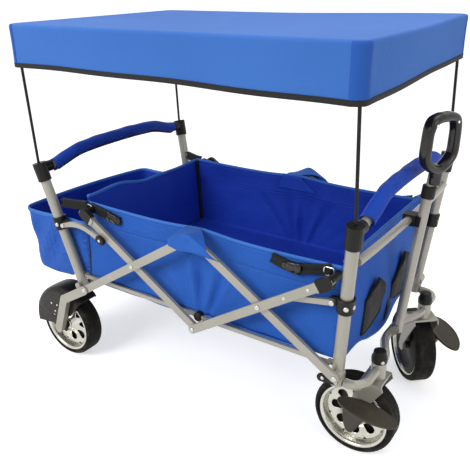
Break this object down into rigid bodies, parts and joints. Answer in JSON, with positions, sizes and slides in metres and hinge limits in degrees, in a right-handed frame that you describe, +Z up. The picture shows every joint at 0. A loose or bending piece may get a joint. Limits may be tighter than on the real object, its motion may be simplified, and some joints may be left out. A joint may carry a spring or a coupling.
{
  "type": "folding wagon",
  "caption": "Folding push-pull wagon with scissor frame, fabric bed, rear pouch, canopy on rods, push handles, pull pole and braked caster wheels",
  "frame": {"origin": "on the ground, below the middle of the wagon's bounding box", "axes": "+X towards the pull pole and casters, +Y to the wagon's left side, +Z up"},
  "size_m": [1.0918, 0.5864, 0.902],
  "materials": {
    "grey_paint": "satin silver-grey powder coat",
    "black_plastic": "matt moulded",
    "brown_plastic": "satin moulded",
    "tyre_rubber": "matt tread",
    "rim_silver": "bright plated",
    "blue_cloth": "woven polyester",
    "blue_sleeve": "padded woven sleeve"
  },
  "bodies": {
    "rear_frame": {"rear_post_left": "grey_paint", "rear_post_right": "grey_paint", "rear_post_cap_left": "black_plastic", "rear_post_cap_right": "black_plastic", "rear_leg_left": "grey_paint", "rear_leg_right": "grey_paint", "rear_fender_left": "black_plastic", "rear_fender_right": "black_plastic", "rear_handle_tube": "grey_paint", "rear_handle_sleeve": "blue_sleeve", "rear_cross_tube": "grey_paint", "rear_pouch": "blue_cloth", "rear_panel": "blue_cloth", "bed_fabric": "blue_cloth"},
    "bars_a": {"bar_a_left": "grey_paint", "bar_a_right": "grey_paint"},
    "bars_b": {"bar_b_left": "grey_paint", "bar_b_right": "grey_paint"},
    "bars_c": {"bar_c_left": "grey_paint", "bar_c_right": "grey_paint"},
    "bars_d": {"bar_d_left": "grey_paint", "bar_d_right": "grey_paint"},
    "front_frame": {"front_post_left": "grey_paint", "front_post_right": "grey_paint", "front_post_cap_left": "black_plastic", "front_post_cap_right": "black_plastic", "front_handle_tube": "grey_paint", "front_handle_sleeve": "blue_sleeve", "front_upper_tube": "grey_paint", "pole_clip": "black_plastic", "front_lower_tube": "grey_paint", "front_panel": "blue_cloth"},
    "rear_rails": {"rear_rail_left": "grey_paint", "rear_rail_right": "grey_paint"},
    "front_rails": {"front_rail_left": "grey_paint", "front_rail_right": "grey_paint"},
    "rear_links": {"rear_link_left": "grey_paint", "rear_link_right": "grey_paint"},
    "front_links": {"front_link_left": "grey_paint", "front_link_right": "grey_paint"},
    "caster_left": {"caster_fork_left": "grey_paint"},
    "caster_right": {"caster_fork_right": "grey_paint"},
    "front_wheel_left": {"front_tyre_left": "tyre_rubber", "front_rim_left": "rim_silver"},
    "front_wheel_right": {"front_tyre_right": "tyre_rubber", "front_rim_right": "rim_silver"},
    "front_brake_left": {"front_brake_paddle_left": "brown_plastic"},
    "front_brake_right": {"front_brake_paddle_right": "brown_plastic"},
    "rear_wheel_left": {"rear_tyre_left": "tyre_rubber", "rear_rim_left": "rim_silver"},
    "rear_wheel_right": {"rear_tyre_right": "tyre_rubber", "rear_rim_right": "rim_silver"},
    "rear_brake_left": {"rear_brake_pedal_left": "black_plastic"},
    "rear_brake_right": {"rear_brake_pedal_right": "black_plastic"},
    "pull_pole": {"pull_pole_outer_tube": "grey_paint", "pull_pole_collar": "black_plastic"},
    "pull_pole_stage": {"pull_pole_inner_tube": "grey_paint", "pull_grip": "black_plastic"},
    "canopy": {"canopy_cover": "blue_cloth"}
  },
  "joints": [
    {"name": "fold", "type": "hinge", "parent": "rear_frame", "child": "bars_a", "pos_m": [-0.3039, 0, 0.25], "axis": [0, -1, 0], "range_deg": [0, 39.3], "deforming": ["bed_fabric"]},
    {"name": "rear_crossing", "type": "hinge", "parent": "bars_a", "child": "bars_b", "pos_m": [-0.1279, 0, 0.36299], "axis": [0, -1, 0], "range_deg": [-78.6, 0]},
    {"name": "top_hub", "type": "hinge", "parent": "bars_a", "child": "bars_c", "pos_m": [0.0481, 0, 0.47598], "axis": [0, -1, 0], "range_deg": [-78.6, 0]},
    {"name": "front_crossing", "type": "hinge", "parent": "bars_c", "child": "bars_d", "pos_m": [0.2241, 0, 0.36299], "axis": [0, -1, 0], "range_deg": [0, 78.6]},
    {"name": "front_foot", "type": "hinge", "parent": "bars_c", "child": "front_frame", "pos_m": [0.4001, 0, 0.25], "axis": [0, -1, 0], "range_deg": [0, 39.3]},
    {"name": "rear_rail_foot", "type": "hinge", "parent": "rear_frame", "child": "rear_rails", "pos_m": [-0.32637, 0, 0.272], "axis": [0, -1, 0], "range_deg": [0, 62.88]},
    {"name": "front_rail_foot", "type": "hinge", "parent": "front_frame", "child": "front_rails", "pos_m": [0.37895, 0, 0.272], "axis": [0, -1, 0], "range_deg": [-72.7, 0]},
    {"name": "rear_link_collar", "type": "hinge", "parent": "rear_frame", "child": "rear_links", "pos_m": [-0.3559, 0, 0.42], "axis": [0, -1, 0], "range_deg": [0, 72.7]},
    {"name": "front_link_collar", "type": "hinge", "parent": "front_frame", "child": "front_links", "pos_m": [0.3861, 0, 0.42], "axis": [0, -1, 0], "range_deg": [-86.46, 0]},
    {"name": "caster_swivel_left", "type": "hinge", "parent": "front_frame", "child": "caster_left", "pos_m": [0.4491, 0.149, 0.2], "axis": [0, 0, 1], "continuous": true},
    {"name": "front_wheel_spin_left", "type": "hinge", "parent": "caster_left", "child": "front_wheel_left", "pos_m": [0.42204, 0.1798, 0.094], "axis": [0.7513, 0.66, 0], "continuous": true},
    {"name": "front_brake_left", "type": "hinge", "parent": "caster_left", "child": "front_brake_left", "pos_m": [0.42204, 0.1798, 0.094], "axis": [0.7513, 0.66, 0], "range_deg": [0, 12]},
    {"name": "rear_wheel_spin_left", "type": "hinge", "parent": "rear_frame", "child": "rear_wheel_left", "pos_m": [-0.4279, 0.228, 0.094], "axis": [0, 1, 0], "continuous": true},
    {"name": "rear_brake_left", "type": "hinge", "parent": "rear_frame", "child": "rear_brake_left", "pos_m": [-0.4279, 0.228, 0.094], "axis": [0, -1, 0], "range_deg": [0, 10]},
    {"name": "caster_swivel_right", "type": "hinge", "parent": "front_frame", "child": "caster_right", "pos_m": [0.4491, -0.149, 0.2], "axis": [0, 0, 1], "continuous": true},
    {"name": "front_wheel_spin_right", "type": "hinge", "parent": "caster_right", "child": "front_wheel_right", "pos_m": [0.4081, -0.149, 0.094], "axis": [0, 1, 0], "continuous": true},
    {"name": "front_brake_right", "type": "hinge", "parent": "caster_right", "child": "front_brake_right", "pos_m": [0.4081, -0.149, 0.094], "axis": [0, 1, 0], "range_deg": [0, 12]},
    {"name": "rear_wheel_spin_right", "type": "hinge", "parent": "rear_frame", "child": "rear_wheel_right", "pos_m": [-0.4279, -0.228, 0.094], "axis": [0, 1, 0], "continuous": true},
    {"name": "rear_brake_right", "type": "hinge", "parent": "rear_frame", "child": "rear_brake_right", "pos_m": [-0.4279, -0.228, 0.094], "axis": [0, -1, 0], "range_deg": [0, 10]},
    {"name": "pull_pole_tilt", "type": "hinge", "parent": "front_frame", "child": "pull_pole", "pos_m": [0.4346, 0, 0.2435], "axis": [0, 1, 0], "range_deg": [0, 95]},
    {"name": "pull_pole_extend", "type": "slide", "parent": "pull_pole", "child": "pull_pole_stage", "axis": [0.0993, 0, 0.9951], "range_m": [0, 0.24]},
    {"name": "canopy_lift_off", "type": "slide", "parent": "rear_frame", "child": "canopy", "axis": [0, 0, 1], "range_m": [0, 0.35]}
  ],
  "couplings": [
    {"joint": "rear_crossing", "follows": "fold", "ratio": -2},
    {"joint": "top_hub", "follows": "fold", "ratio": -2},
    {"joint": "front_crossing", "follows": "fold", "ratio": 2},
    {"joint": "front_foot", "follows": "fold", "ratio": 1},
    {"joint": "rear_rail_foot", "follows": "fold", "ratio": 1.6},
    {"joint": "front_rail_foot", "follows": "fold", "ratio": -1.85},
    {"joint": "rear_link_collar", "follows": "fold", "ratio": 1.85},
    {"joint": "front_link_collar", "follows": "fold", "ratio": -2.2}
  ]
}
